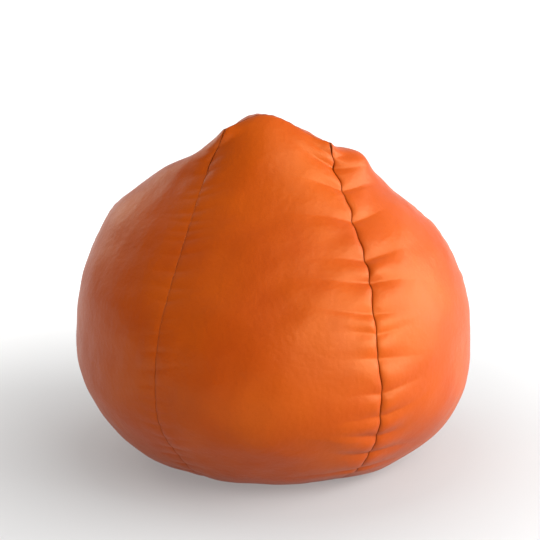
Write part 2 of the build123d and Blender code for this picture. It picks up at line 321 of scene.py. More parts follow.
def domed(azimuth, share):
    """The fitted dome's point at that azimuth and share of the way out."""
    radius = cap_radius(azimuth) * share
    x, y = radius * np.sin(azimuth), radius * np.cos(azimuth)
    z = cap_basis(x, y) @ cap_fit
    return np.stack([x + LEAN * (z - LEAN_ABOUT), y, z], axis=1)


def cap_place(azimuth, share):
    """The cap's point at that azimuth, share of the way from its middle to its edge. The fitted
    dome is drawn to the gores' upper edges, so that the seam between them closes."""
    edge = at_gore_tops(azimuth, lambda skin, across, up: skin(across, up))
    short = edge - domed(azimuth, np.ones_like(share))
    return domed(azimuth, share) + short * (share ** EDGE_DRAW)[:, None]


def cap_normal(azimuth, share):
    place, step = cap_place(azimuth, share), 0.002
    x, y = place[:, 0] - LEAN * (place[:, 2] - LEAN_ABOUT), place[:, 1]
    slope_x = (cap_basis(x + step, y) - cap_basis(x - step, y)) @ cap_fit / (2 * step)
    slope_y = (cap_basis(x, y + step) - cap_basis(x, y - step)) @ cap_fit / (2 * step)
    return unit(np.stack([-slope_x, -slope_y, np.ones_like(x)], axis=1))


error = np.abs(cap_basis(measured[:, 0], measured[:, 1]) @ cap_fit - measured[:, 2])
print("the cap's fit, mm: half of it within", round(float(np.median(error)) * 1000, 2),
      "and all of it within", round(float(error.max()) * 1000, 2))

# %% [markdown]
# ## The beads press the skin out
# A full bag is a cushion: its skin is stretched by what is inside, most in the middle of each gore
# and least along the seams, where two turned edges make it stiff. Cloth simulation with an inner
# pressure gives that swell. It starts from the solid of beads, whose skin is remade in even faces
# and drawn in by more than it may swell. Each point may travel only so far, and never nearer than
# 21 mm to the cover, so that the beads stay inside their liner.

# %% Swell the beads
SWELL_VOXEL = 0.012
SWELL_FRAMES = 20
SWELL_PRESSURE = 4.0
SWELL_STIFFNESS = 15
SWELL_QUALITY = 5
SWELL_LIMIT = 0.012
DRAWN_IN = 0.030
UNDER_COVER = 0.021
whole_copy = copy_of_nodes(GORE_NAMES + ["top_cap"], "whole_copy")
whole_tree = tree_of(whole_copy)
bead_fill = copy_of_nodes(["bead_fill"], "bead_fill_swollen")
remesh = bead_fill.modifiers.new("even_skin", "REMESH")
remesh.mode, remesh.voxel_size = "VOXEL", SWELL_VOXEL
softened = bead_fill.modifiers.new("softened", "SMOOTH")
softened.iterations = 8
apply_all(bead_fill)
bpy.ops.object.mode_set(mode="EDIT")
bpy.ops.mesh.select_all(action="SELECT")
bpy.ops.mesh.separate(type="LOOSE")
bpy.ops.object.mode_set(mode="OBJECT")
shells = sorted(bpy.context.selected_objects, key=lambda o: len(o.data.vertices))
bead_fill = shells.pop()
for hidden in shells:
    bpy.data.objects.remove(hidden)
places = points_of(bead_fill)
move_points(bead_fill, places - unit(places - np.array(CENTRE)) * DRAWN_IN)
before = points_of(bead_fill)
cloth = bead_fill.modifiers.new("pressed_out", "CLOTH")
cloth.settings.quality = SWELL_QUALITY
cloth.settings.use_pressure = True
cloth.settings.uniform_pressure_force = SWELL_PRESSURE
cloth.settings.effector_weights.gravity = 0
cloth.settings.tension_stiffness = SWELL_STIFFNESS
cloth.settings.compression_stiffness = SWELL_STIFFNESS
cloth.settings.bending_stiffness = 1
cloth.point_cache.frame_end = SWELL_FRAMES
for number in range(1, SWELL_FRAMES + 1):
    bpy.context.scene.frame_set(number)
apply_all(bead_fill)
bpy.context.scene.frame_set(1)
travel = points_of(bead_fill) - before
distance = np.linalg.norm(travel, axis=1)
allowed = np.minimum(1, SWELL_LIMIT / np.maximum(distance, 1e-9))
swelled = before + travel * allowed[:, None]
for index, place in enumerate(swelled):
    way = Vector(place) - CENTRE
    way.normalize()
    above, normal = whole_tree.ray_cast(CENTRE + way * RAY_START, -way)[:2]
    if above is not None and (above - CENTRE).dot(way) > 0:
        outwards = normal if normal.dot(way) > 0 else -normal
        too_high = max(0, (Vector(place) - above).dot(outwards) + UNDER_COVER)
        swelled[index] -= np.array(outwards) * too_high
move_points(bead_fill, swelled)
bpy.data.objects.remove(whole_copy)
moved_by = np.percentile(distance, [5, 50, 95]) * 1000
print(len(before), "points; the pressure moved them by", np.round(moved_by, 1), "mm")

# %% [markdown]
# ## Where the skin stands proud
# The same swell, taken from the simulation, crowns each gore between its seams. It is looked up
# at 225 places on a gore and fitted with a low polynomial, so that it stays smooth.

# %% The crown of a gore
CROWN = 0.005
CROWN_SINK = 0.002
CROWN_DEGREE_ACROSS, CROWN_DEGREE_UP = 2, 5
NEIGHBOURS = 12
swell_of = KDTree(len(before))
for index, place in enumerate(before):
    swell_of.insert(place, index)
swell_of.balance()


def crown_basis(across, up):
    return np.stack([a * b for a in Skin.basis(across, CROWN_DEGREE_ACROSS).T
                     for b in Skin.basis(2 * up - 1, CROWN_DEGREE_UP).T], axis=1)


def crown_fit(fitted):
    """How far the simulation moved the beads under a gore, as a smooth function on it."""
    across, up = np.meshgrid(np.linspace(-1, 1, 9), np.linspace(0, 1, 25), indexing="ij")
    across, up = across.ravel(), up.ravel()
    moved = [np.mean([min(distance[i], SWELL_LIMIT) for _, i, _ in swell_of.find_n(place, NEIGHBOURS)])
             for place in fitted(across, up)]
    return np.linalg.lstsq(crown_basis(across, up), np.array(moved) / SWELL_LIMIT, rcond=None)[0]


crowns = [crown_fit(fitted) for fitted in gore_skins]


def crown(number, across, up):
    """How proud the gore stands there: highest in its middle and a little sunk at its seams."""
    swell = np.clip(crown_basis(across, up) @ crowns[number], 0, 1)
    ends = smooth_step(0, 0.12, up) * smooth_step(1, 0.9, up)
    return ((CROWN * swell + CROWN_SINK) * (1 - across ** 2) - CROWN_SINK) * ends


crown_of_back = crown(0, np.zeros(1), np.full(1, 0.5))[0]
print("crown in the middle of the back:", round(float(crown_of_back) * 1000, 1), "mm")

# %% [markdown]
# ## How a sewn edge turns in
# At a seam the two gores are stitched face to face, a few millimetres from their edges, and turned
# the right way out. So each edge rolls round a small radius and ends in a flange inside the bag.
# The rows of points follow that: two on the flange, four on the roll, then steps that grow.

# %% The steps from a seam to the open skin
SEAM_GAP = 0.00015
FLANGE = 0.0065
DRAWN_ROLL, FLAT_ROLL, END_ROLL = 0.0018, 0.0010, 0.0018
DRAWN_SEAM, FLAT_SEAM = 0, 5
FIRST_STEP, LAST_STEP, OPEN_STEPS = 0.0012, 0.0048, 19


def edge_steps(roll, first, last, count):
    """(distance from the seam, depth under the skin) for each row of points near a seam."""
    steps = [(SEAM_GAP, roll + FLANGE), (SEAM_GAP, roll + FLANGE / 2)]
    for turn in (90, 67.5, 45, 22.5):
        a = math.radians(turn)
        steps.append((SEAM_GAP + roll * (1 - math.sin(a)), roll * (1 - math.cos(a))))
    outwards = SEAM_GAP + roll + np.concatenate([[0], np.cumsum(np.linspace(first, last, count))])
    return steps + [(float(x), 0.0) for x in outwards]


def side_steps(seam):
    roll = {DRAWN_SEAM: DRAWN_ROLL, FLAT_SEAM: FLAT_ROLL}.get(seam % 6, END_ROLL)
    return edge_steps(roll, FIRST_STEP, LAST_STEP, OPEN_STEPS)


END_STEPS = edge_steps(END_ROLL, FIRST_STEP, 0.0028, 6)
print("a sewn side has", len(side_steps(DRAWN_SEAM)), "rows, out to",
      round(side_steps(DRAWN_SEAM)[-1][0] * 1000), "mm")

# %% [markdown]
# ## Puckers
# Thread pulls a seam shorter than the skin beside it, so the spare skin stands up in puffs, with a
# crease between each two, deepest at the stitches. The seam that faces the light is drawn in the
# most: its creases are listed by their height. The others are finer and more regular, and theirs
# come from a seeded generator.


# %% Creases along the seams
PUFF_START = 0.0075
PUFF_END = 0.03
CREASE_SPREAD = 0.12


class Pucker:
    """The creases of one seam: where they are along it, and how they run out on either side."""

    def __init__(self, places, seed, puff, crease, reach, crease_width, slant):
        draw = np.random.default_rng(seed)
        self.at = np.asarray(places, float)
        count = len(self.at)
        self.crease = crease * draw.uniform(0.6, 1.25, count)
        self.width = crease_width * draw.uniform(0.8, 1.3, count)
        self.puff = puff * draw.uniform(0.65, 1.25, (2, count + 1))
        self.reach = reach * draw.uniform(0.7, 1.3, (2, count))
        self.slant = slant + draw.uniform(-0.16, 0.16, (2, count))
        self.bow = draw.uniform(-1.6, 1.6, (2, count))

    def height(self, side, away, along):
        """How proud the skin stands at a distance from the seam, on its first or second side."""
        near = np.clip(away, 0, 0.2)
        slant = np.interp(along, self.at, self.slant[side])
        bow = np.interp(along, self.at, self.bow[side])
        line = along - slant * near - bow * near ** 2
        reach = np.interp(line, self.at, self.reach[side])
        number = np.clip(np.searchsorted(self.at, line), 0, len(self.at))
        padded = np.concatenate([[self.at[0] - PUFF_END], self.at, [self.at[-1] + PUFF_END]])
        share = np.clip((line - padded[number]) / (padded[number + 1] - padded[number]), 0, 1)
        lobe = np.sin(math.pi * share) ** 0.8 * self.puff[side][number]
        rise = 1 - np.exp(-near / PUFF_START)
        proud = lobe * rise * np.exp(-(near / reach) ** 1.6)
        for i, place in enumerate(self.at):
            width = self.width[i] + CREASE_SPREAD * near
            groove = np.exp(-((line - place) / width) ** 2)
            proud = proud - self.crease[i] * groove * np.exp(-near / (0.9 * self.reach[side][i]))
        return proud


RIGHT_SEAM_CREASES = (0.060, 0.105, 0.150, 0.200, 0.250, 0.321, 0.368, 0.408, 0.465, 0.505,
                      0.580, 0.645, 0.700)
SEAM_ROWS = np.linspace(0, 1, 400)
CREASE_FREE_END = 0.03
seam_puckers = []
seam_lengths = []
for number, fitted in enumerate(gore_skins):
    line = fitted(np.ones_like(SEAM_ROWS), SEAM_ROWS)
    along = np.concatenate([[0], np.cumsum(np.linalg.norm(np.diff(line, axis=0), axis=1))])
    seam_lengths.append(along[-1])
    if number == DRAWN_SEAM:
        places = np.interp(RIGHT_SEAM_CREASES, line[:, 2], along)
        seam_puckers.append(Pucker(places, 11, 0.0062, 0.0040, 0.066, 0.0095, 0.10))
        continue
    draw = np.random.default_rng(40 + number)
    gaps = draw.uniform(0.020, 0.040, 60)
    places = CREASE_FREE_END + np.cumsum(gaps)
    places = places[places < along[-1] - CREASE_FREE_END]
    strength = 0.45 if number == FLAT_SEAM else 0.85
    puff, crease = 0.0034 * strength, 0.0026 * strength
    seam_puckers.append(Pucker(places, 70 + number, puff, crease, 0.036, 0.0055, 0.0))
print("creases on each seam:", [len(p.at) for p in seam_puckers])

# %% [markdown]
# ## Where the sewn skin has settled
# A bag that is sat in is never quite even. Its beads have moved towards one side, so the seam on
# that side has wandered outwards as it climbs, and the corner of the cap above it has sunk, while
# the ridge beside it stands up. Each such change is a place, how far round it the change reaches,
# and a move. Every layer goes through this one smooth change of place, so that the cover, the
# thread and the liner stay together. Slow ripples over the skin come from a seeded sum of waves.

# %% Settling and ripples
SEAM_WANDER = math.radians(7.5)
CORNER_WANDER = math.radians(9)
SEAM_WIGGLE = 0.0022
WIGGLE_REACH = math.radians(7)
WANDER_WINDOW = math.radians(55)
LOW_CORNER = np.array([-0.098, 0.197, 0.758])
HIGH_CORNER = np.array([0.130, 0.197, 0.758])
LIFTS = ((LOW_CORNER, 0.105, (0, 0, -0.027)),
         ((0.045, 0.190, 0.785), 0.085, (0, 0, 0.019)),
         ((-0.150, 0.140, 0.700), 0.052, (-0.014, 0.002, 0.014)),
         ((0.170, 0.120, 0.710), 0.070, (-0.013, 0, -0.003)),
         ((0.320, 0.030, 0.560), 0.130, (0.017, 0, 0.012)),
         ((-0.350, 0.030, 0.480), 0.120, (-0.009, 0, 0.004)),
         ((-0.330, 0.030, 0.090), 0.110, (-0.010, 0, 0)))


def window(azimuth, middle):
    share = np.clip(np.abs(azimuth - middle) / WANDER_WINDOW, 0, 1)
    return 0.5 * (1 + np.cos(math.pi * share))


def settle(places):
    """The places after the bag has settled."""
    out = np.array(places, float)
    height = out[:, 2]
    x, y = out[:, 0] - LEAN * (height - LEAN_ABOUT), out[:, 1]
    azimuth = np.arctan2(x, y)
    turn = -SEAM_WANDER * smooth_step(0.30, 0.66, height) * window(azimuth, -GORE_ANGLE / 2)
    turn = turn - CORNER_WANDER * smooth_step(0.68, 0.77, height) * window(azimuth, GORE_ANGLE / 2)
    radius = np.hypot(x, y)
    beside = np.exp(-((azimuth + GORE_ANGLE / 2) / WIGGLE_REACH) ** 2) * smooth_step(0.04, 0.10, height)
    wave = np.sin(height * 74 + 2.6 * np.sin(height * 19))
    wave = wave + 0.5 * np.sin(height * 143 + 3 * np.sin(height * 11))
    turn = turn + SEAM_WIGGLE * wave * beside / np.maximum(radius, 0.05)
    moved = np.zeros_like(out)
    for place, reach, move in LIFTS:
        near = np.exp(-(np.linalg.norm(out - np.asarray(place), axis=1) / reach) ** 2)
        moved += near[:, None] * np.array(move)
    out[:, 0] = radius * np.sin(azimuth + turn) + LEAN * (height - LEAN_ABOUT)
    out[:, 1] = radius * np.cos(azimuth + turn)
    return out + moved


def ripples(places, seed, wavelength, count=16):
    """A smooth seeded field of about that wavelength, mostly between -1 and 1."""
    draw = np.random.default_rng(seed)
    ways = unit(draw.normal(size=(count, 3)))
    ways = ways * (2 * math.pi / (wavelength * draw.uniform(0.7, 1.6, (count, 1))))
    return np.sin(places @ ways.T + draw.uniform(0, 2 * math.pi, count)).sum(axis=1) / math.sqrt(count)


print("the low corner moves to", np.round(settle(LOW_CORNER[None])[0], 3))

# %% [markdown]
# ## From a flat grid to a gore
# A gore starts as a plain grid with one column of points for each step across. Each point is sent
# to its place on the measured surface, and then out or in by the crown, the ripples and the
# puckers. At the cap and at the base the flange leans between the two sheets that meet there, as
# sewn edges do. Solidify gives the sheet its 1.2 mm, on the inner side only.

# %% A gore's points
GORE_MIDDLE_COLUMNS = 23
GORE_MIDDLE_ROWS = 300
CORNER_PUFF = 0.006
CORNER_PUFF_REACH = 0.024
SLOW_RIPPLE = 0.0016
QUICK_RIPPLE = 0.0006
FLOOR_CLEARANCE = 0.0002
THICKNESS = 0.0012
CAP_LAP = 0.0002
END_FADE = 0.02
END_LEAN = 0.010


def lay_out(first_steps, last_steps, total, middle):
    """Distances from one edge of each row to the other, and how deep each column is sunk."""
    near, sunk = np.array(first_steps).T
    far, far_sunk = np.array(last_steps).T
    total = np.asarray(total, float)[:, None]
    inner = near[-1] + np.linspace(0, 1, middle + 2)[1:-1] * (total - near[-1] - far[-1])
    distances = np.concatenate([near * np.ones_like(total), inner, total - far[::-1]], axis=1)
    return distances, np.concatenate([sunk, np.zeros(middle), far_sunk[::-1]])


def lengths_of(fitted):
    """Functions for the gore's width at a place up it, and its length at a place across it."""
    steps = np.linspace(0, 1, 41)
    widths, lengths = [], []
    for s in steps:
        row = fitted(np.linspace(-1, 1, 41), np.full(41, s))
        column = fitted(np.full(161, 2 * s - 1), np.linspace(0, 1, 161))
        widths.append(np.linalg.norm(np.diff(row, axis=0), axis=1).sum())
        lengths.append(np.linalg.norm(np.diff(column, axis=0), axis=1).sum())
    return (lambda up: np.interp(up, steps, widths),
            lambda across: np.interp(across, 2 * steps - 1, lengths))


def gore_azimuth(number, across):
    return GORE_MIDDLES[number] - across * GORE_ANGLE / 2


def corner_puff(places):
    """The skin stands out in a small ear where two gores and the cap meet, at the two top corners."""
    proud = np.zeros(len(places))
    for corner in (LOW_CORNER, HIGH_CORNER):
        proud += np.exp(-(np.linalg.norm(places - corner, axis=1) / CORNER_PUFF_REACH) ** 2)
    return CORNER_PUFF * proud


def new_grid(name, columns, rows):
    bpy.ops.object.select_all(action="DESELECT")
    bpy.ops.mesh.primitive_grid_add(x_subdivisions=columns - 1, y_subdivisions=rows - 1, size=2)
    o = bpy.context.object
    o.name = o.data.name = name
    return o


def finish_sheet(o, thickness, outwards, doubles=None):
    """Turns the sheet's faces outwards, gives it its thickness and smooths its shading."""
    if doubles:
        merge_doubles(o, doubles)
    faces = len(o.data.polygons)
    normals, centres = np.zeros(faces * 3), np.zeros(faces * 3)
    o.data.polygons.foreach_get("normal", normals)
    o.data.polygons.foreach_get("center", centres)
    facing = normals.reshape(-1, 3) * outwards(centres.reshape(-1, 3))
    if facing.sum() < 0:
        pick(o)
        bpy.ops.object.mode_set(mode="EDIT")
        bpy.ops.mesh.select_all(action="SELECT")
        bpy.ops.mesh.flip_normals()
        bpy.ops.object.mode_set(mode="OBJECT")
    wall = o.modifiers.new("wall", "SOLIDIFY")
    wall.thickness, wall.offset = thickness, -1
    apply_all(o)
    bpy.ops.object.shade_smooth()
    return o


def away_from_centre(places):
    return unit(places - np.array(CENTRE))


def store(o, name, values):
    """Keeps one number for each point of the mesh, for its material to read."""
    layer = o.data.attributes.new(name, "FLOAT", "POINT")
    layer.data.foreach_set("value", np.asarray(values, dtype=np.float32))


# %% The six gores of the cover
def gore_relief(number, across, up, places, width, from_end):
    """How proud the cover's skin stands at each place of a gore."""
    proud = crown(number, across, up) + corner_puff(places)
    fade = smooth_step(0, END_FADE, from_end)
    proud += (SLOW_RIPPLE * ripples(places, 3, 0.16) + QUICK_RIPPLE * ripples(places, 4, 0.055)) * fade
    to_first, to_second = (1 - across) * width / 2, (1 + across) * width / 2
    for side, seam, away in ((0, number, to_first), (1, number - 1, to_second)):
        proud += seam_puckers[seam].height(side, away, up * seam_lengths[seam]) * fade
    return proud


def cap_side_of(number, across):
    """The direction a gore's top flange leans away from, between the gore and the cap."""
    end = np.ones_like(across)
    return unit(gore_skins[number].normal(across, end) + cap_normal(gore_azimuth(number, across), end))


def gore_piece(number, name):
    fitted = gore_skins[number]
    width_at, length_at = lengths_of(fitted)
    whole_length = length_at(np.zeros(1)) + CAP_LAP
    rows_from_base, row_sunk = lay_out(END_STEPS, END_STEPS, whole_length, GORE_MIDDLE_ROWS)
    up_guess = rows_from_base[0] / length_at(0)
    steps = side_steps(number - 1), side_steps(number)
    from_left, column_sunk = lay_out(*steps, width_at(up_guess), GORE_MIDDLE_COLUMNS)
    rows, columns = from_left.shape
    width = np.repeat(width_at(up_guess)[:, None], columns, axis=1)
    across = 2 * from_left / width - 1
    lengths = length_at(across) + CAP_LAP
    from_base = rows_from_base[0][:, None] * lengths / lengths[:, columns // 2][:, None]
    near = len(END_STEPS)
    end_places = np.array(END_STEPS)[:, 0][:, None]
    from_base[:near] = end_places
    from_base[-near:] = lengths[-near:] - end_places[::-1]
    up = from_base / lengths
    across, up, width, from_base, from_cap = [
        values.ravel() for values in (across, up, width, from_base, lengths - from_base)]
    side_sunk, end_sunk = np.tile(column_sunk, rows), np.repeat(row_sunk, columns)
    places, facing = fitted(across, up), fitted.normal(across, up)
    cap_side = cap_side_of(number, across)
    base_side = unit(fitted.normal(across, np.zeros_like(up)) + np.array([0, 0, -1.0]))
    at_cap = np.exp(-(from_cap / END_LEAN) ** 2)[:, None]
    at_base = np.exp(-(from_base / END_LEAN) ** 2)[:, None]
    out = unit(facing * (1 - at_cap) * (1 - at_base) + cap_side * at_cap + base_side * at_base)
    proud = gore_relief(number, across, up, places, width, np.minimum(from_base, from_cap))
    places = settle(places + out * (proud - side_sunk - end_sunk)[:, None])
    places[:, 2] = np.maximum(places[:, 2], FLOOR_CLEARANCE)
    o = new_grid(name, columns, rows)
    move_points(o, places)
    # Painted shade: how much each seam's groove is darkened, less on the flat seam.
    nearest = (1 - np.abs(across)) * width / 2
    plain = (number - (across < 0)) % 6 == FLAT_SEAM
    store(o, "stitched", np.exp(-nearest / 0.0012) * np.where(plain, 0.3, 1.0))
    return finish_sheet(o, THICKNESS, away_from_centre)


gores = [gore_piece(number, "leather_" + name) for number, name in enumerate(GORE_NAMES)]
print("six gores,", sum(len(o.data.polygons) for o in gores), "faces")

# %% [markdown]
# ## The cap
# The cap is the same sheet with six sewn sides. Its grid is wrapped round: the columns go round the
# bag, the rows go in from the edge, and the two sides that meet and the points that fall together
# in the middle are merged, so that it has no slit and no hole.

# %% The top cap
CAP_COLUMNS = 300
CAP_MIDDLE_ROWS = 26
CAP_STRETCH = 1.12
CAP_PUCKER = 0.0007
CAP_PUCKER_START, CAP_PUCKER_REACH = 0.004, 0.03
CAP_STEPS = edge_steps(END_ROLL, FIRST_STEP, LAST_STEP, OPEN_STEPS)


def edge_normals(azimuth):
    """The direction a flange leans away from at the cap's edge, between the cap and the gore."""
    beside = at_gore_tops(azimuth, lambda skin, across, up: skin.normal(across, up))
    return unit(beside + cap_normal(azimuth, np.ones_like(azimuth)))


def cap_points(depth, steps, middle_rows, columns, relief):
    """The points of a cap at that depth under the cover, and how far each is from the edge."""
    azimuth = np.linspace(-math.pi, math.pi, columns)
    reach = CAP_CORNER * math.cos(GORE_ANGLE / 2) * CAP_STRETCH
    near, sunk = np.array(steps).T
    inner = near[-1] + np.linspace(0, 1, middle_rows + 1)[1:] * (reach - near[-1])
    away = np.concatenate([near, inner])
    sunk = np.concatenate([sunk, np.zeros(middle_rows)])
    azimuth = np.tile(azimuth, len(away))
    away, sunk = np.repeat(away, columns), np.repeat(sunk, columns)
    share = 1 - away / reach
    places, facing = cap_place(azimuth, share), cap_normal(azimuth, share)
    at_edge = np.exp(-(away / END_LEAN) ** 2)[:, None]
    out = unit(facing * (1 - at_edge) + edge_normals(azimuth) * at_edge)
    proud = relief(azimuth, share, away, places) - sunk - depth
    return settle(places + out * proud[:, None]), away


def cap_relief(azimuth, share, away, places):
    fade = smooth_step(0, END_FADE, away)
    proud = corner_puff(places) + CROWN * (1 - share ** 2)
    proud += (2 * SLOW_RIPPLE * ripples(places, 8, 0.13) + QUICK_RIPPLE * ripples(places, 9, 0.05)) * fade
    wave = np.sin(azimuth * 57 + 2.2 * np.sin(azimuth * 5)) + 0.6 * np.sin(azimuth * 34 + 1)
    near = (1 - np.exp(-away / CAP_PUCKER_START)) * np.exp(-(away / CAP_PUCKER_REACH) ** 1.5)
    return proud + CAP_PUCKER * wave * near


cap_places, cap_away = cap_points(0, CAP_STEPS, CAP_MIDDLE_ROWS, CAP_COLUMNS, cap_relief)
top_cap = new_grid("leather_top_cap", CAP_COLUMNS, len(cap_places) // CAP_COLUMNS)
move_points(top_cap, cap_places)
# Painted shade along the cap's sewn edge.
store(top_cap, "stitched", np.exp(-cap_away / 0.0016) * 0.6)
finish_sheet(top_cap, THICKNESS, away_from_centre, doubles=2e-5)
print("the cap has", len(top_cap.data.polygons), "faces")

# %% [markdown]
# ## The base
# Each half of the base is cut to the round outline on one side and straight along the zip on the
# other, where it rises into a shallow pleat that keeps the zip off the floor. Its rows run from
# the outline to the zip, and its outer edge turns up inside the gores.


# %% The base panels
ZIP_EDGE = 0.0054
BASE_COLUMNS, BASE_MIDDLE_ROWS = 121, 44
BASE_TURN = math.radians(88.9)
BASE_SLACK = 0.0009
BASE_RADIUS = 0.27


def outline_of(skins, moved=lambda p, n: p):
    """The lower edge of the gores as azimuths and points, in order."""
    around = []
    for number, fitted in enumerate(skins):
        across = np.linspace(-1, 1, 61)[:-1]
        edge, facing = fitted(across, np.zeros(60)), fitted.normal(across, np.zeros(60))
        around += list(zip(gore_azimuth(number, across) % (2 * math.pi), moved(edge, facing)))
    around.sort(key=lambda item: item[0])
    return np.array([a for a, p in around]), np.array([p for a, p in around])


def base_panel(name, side, outline, zip_height, floor, raised_to, flat_from, thickness, steps):
    """One half of a base. Side is 1 for the back half and -1 for the front one."""
    azimuths, edge_points = outline
    radius = np.hypot(edge_points[:, 0] + LEAN * LEAN_ABOUT, edge_points[:, 1])
    turn = np.linspace(-1, 1, BASE_COLUMNS) * BASE_TURN
    azimuth = (turn if side > 0 else math.pi - turn) % (2 * math.pi)
    reach = np.interp(azimuth, azimuths, radius, period=2 * math.pi)
    rim = np.stack([reach * np.sin(azimuth) - LEAN * LEAN_ABOUT, reach * np.cos(azimuth)], axis=1)
    zip_line = np.stack([np.linspace(rim[0, 0], rim[-1, 0], BASE_COLUMNS),
                         np.full(BASE_COLUMNS, side * ZIP_EDGE)], axis=1)
    gap = rim - zip_line
    long = np.linalg.norm(gap, axis=1)
    near, sunk = np.array(steps).T
    distances = [(np.full(BASE_COLUMNS, away), lift) for away, lift in zip(near, sunk)]
    distances += [(near[-1] + share * (long - near[-1]), 0)
                  for share in np.linspace(0, 1, BASE_MIDDLE_ROWS)[1:]]
    rows = []
    for distance, lift in distances:
        distance = np.minimum(distance, long)
        place = rim - gap * (distance / np.maximum(long, 1e-6))[:, None]
        y = np.abs(place[:, 1])
        height = floor + (zip_height - floor) * smooth_step(flat_from, raised_to, y)
        rows.append(np.column_stack([place, height + lift]))
    places = np.concatenate(rows)
    slack = np.abs(ripples(places, 21, 0.09)) * smooth_step(0.03, 0.07, np.abs(places[:, 1]))
    from_middle = np.hypot(places[:, 0], places[:, 1])
    places[:, 2] += BASE_SLACK * slack * smooth_step(1.0, 0.8, from_middle / BASE_RADIUS)
    o = new_grid(name, BASE_COLUMNS, len(rows))
    move_points(o, places)
    # The base panels get no painted seam shade.
    store(o, "stitched", np.zeros(len(places)))
    return finish_sheet(o, thickness, lambda centres: np.array([0, 0, -1.0]), doubles=1e-5)


BASE_STEPS = edge_steps(END_ROLL, 0.002, 0.006, 5)
cover_outline = outline_of(gore_skins)
base_panels = [base_panel("leather_" + name, side, cover_outline, 0.0045, FLOOR_CLEARANCE, 0.016, 0.028,
                          THICKNESS, BASE_STEPS)
               for name, side in (("base_panel_back", 1), ("base_panel_front", -1))]
lowest_point = min(points_of(o)[:, 2].min() for o in base_panels)
print("base panels made, lowest point", round(lowest_point * 1000, 2), "mm")

# %% [markdown]
# ## The liner
# Inside is a bag of thin cloth in the same pattern, which holds the beads when the cover is off.
# It is a little slack, so it has soft ripples and no puckers. It is made by the same steps with
# fewer points, because nobody sees it until the zip is open.

# %% The liner's panels
LINER_DEPTH = 0.0158
LINER_THICKNESS = 0.0008
LINER_SLACK = 0.0009
LINER_RISE = 0.0040
LINER_INSET = 0.0100
LINER_STEPS = [(0.0004, 0.0065), (0.0004, 0.0020), (0.0010, 0.0006), (0.0024, 0.0), (0.006, 0.0),
               (0.012, 0.0), (0.022, 0.0)]
LINER_ROWS, LINER_COLUMNS = 70, 17
LINER_CAP_ROWS, LINER_CAP_COLUMNS = 14, 121


def liner_place(places, facing, up):
    """Inwards by the liner's depth, and at the base only a little up, to lie on the base panel."""
    inside = smooth_step(0, 0.07, up)[:, None]
    level = unit(places * np.array([1, 1, 0]))
    at_base = -level * LINER_INSET + np.array([0, 0, LINER_RISE])
    return places - facing * LINER_DEPTH * inside + at_base * (1 - inside)


def liner_gore(number, name):
    fitted = gore_skins[number]
    width_at, length_at = lengths_of(fitted)
    row_places, row_sunk = lay_out(LINER_STEPS, LINER_STEPS, length_at(np.zeros(1)), LINER_ROWS)
    up = row_places[0] / length_at(0)
    from_left, column_sunk = lay_out(LINER_STEPS, LINER_STEPS, width_at(up), LINER_COLUMNS)
    rows, columns = from_left.shape
    across = (2 * from_left / width_at(up)[:, None] - 1).ravel()
    up = np.repeat(np.clip(up, 0, 1), columns)
    side_sunk, end_sunk = np.tile(column_sunk, rows), np.repeat(row_sunk, columns)
    places, facing = fitted(across, up), fitted.normal(across, up)
    cap_side = cap_side_of(number, across)
    at_cap = smooth_step(0.97, 1.0, up)[:, None]
    at_base = smooth_step(0.03, 0.0, up)[:, None]
    base_side = np.array([0, 0, -1.0])
    out = unit(facing * (1 - at_cap) * (1 - at_base) + cap_side * at_cap + base_side * at_base)
    open_skin = smooth_step(0, 0.03, np.minimum(up, 1 - up)) * (1 - across ** 2)
    proud = crown(number, across, up) + LINER_SLACK * ripples(places, 31, 0.09) * open_skin
    lined = liner_place(places, out, up) + out * (proud - side_sunk - end_sunk)[:, None]
    o = new_grid(name, columns, rows)
    move_points(o, settle(lined))
    return finish_sheet(o, LINER_THICKNESS, away_from_centre)


def liner_cap_relief(azimuth, share, away, places):
    return CROWN * (1 - share ** 2) + LINER_SLACK * ripples(places, 32, 0.09) * (1 - share ** 2)


liner = [liner_gore(number, "cloth_liner_" + name) for number, name in enumerate(GORE_NAMES)]
liner_cap_places = cap_points(LINER_DEPTH, LINER_STEPS, LINER_CAP_ROWS, LINER_CAP_COLUMNS,
                              liner_cap_relief)[0]
liner_cap = new_grid("cloth_liner_top_cap", LINER_CAP_COLUMNS, len(liner_cap_places) // LINER_CAP_COLUMNS)
move_points(liner_cap, liner_cap_places)
finish_sheet(liner_cap, LINER_THICKNESS, away_from_centre, doubles=2e-5)
liner_outline = outline_of(gore_skins, lambda p, n: liner_place(p, n, np.zeros(len(p))))
liner_bases = [base_panel("cloth_liner_" + name, side, liner_outline, 0.0135, LINER_RISE, 0.018, 0.040,
                          LINER_THICKNESS, LINER_STEPS[:4])
               for name, side in (("base_back", 1), ("base_front", -1))]
print("the liner has", len(liner) + 1 + len(liner_bases), "panels")

# %% [markdown]
# ## The thread
# The stitches are out of sight between the turned edges. Each is a short spindle of thread that
# lies along the seam. One is modelled, from a sphere drawn out to a spindle, and copied along the
# six upright seams at the pitch of an upholstery stitch.

# %% Stitches along the seams
STITCH_PITCH = 0.0055
STITCH_DEPTH = 0.0052
STITCH_LENGTH = 0.0046
STITCH_RADIUS = 0.0004


def one_stitch():
    bpy.ops.object.select_all(action="DESELECT")
    bpy.ops.mesh.primitive_uv_sphere_add(segments=6, ring_count=5, radius=1)
    stitch = bpy.context.object
    bpy.ops.object.mode_set(mode="EDIT")
    bpy.ops.mesh.select_all(action="SELECT")
    bpy.ops.transform.resize(value=(STITCH_RADIUS, STITCH_RADIUS, STITCH_LENGTH / 2))
    bpy.ops.object.mode_set(mode="OBJECT")
    return stitch


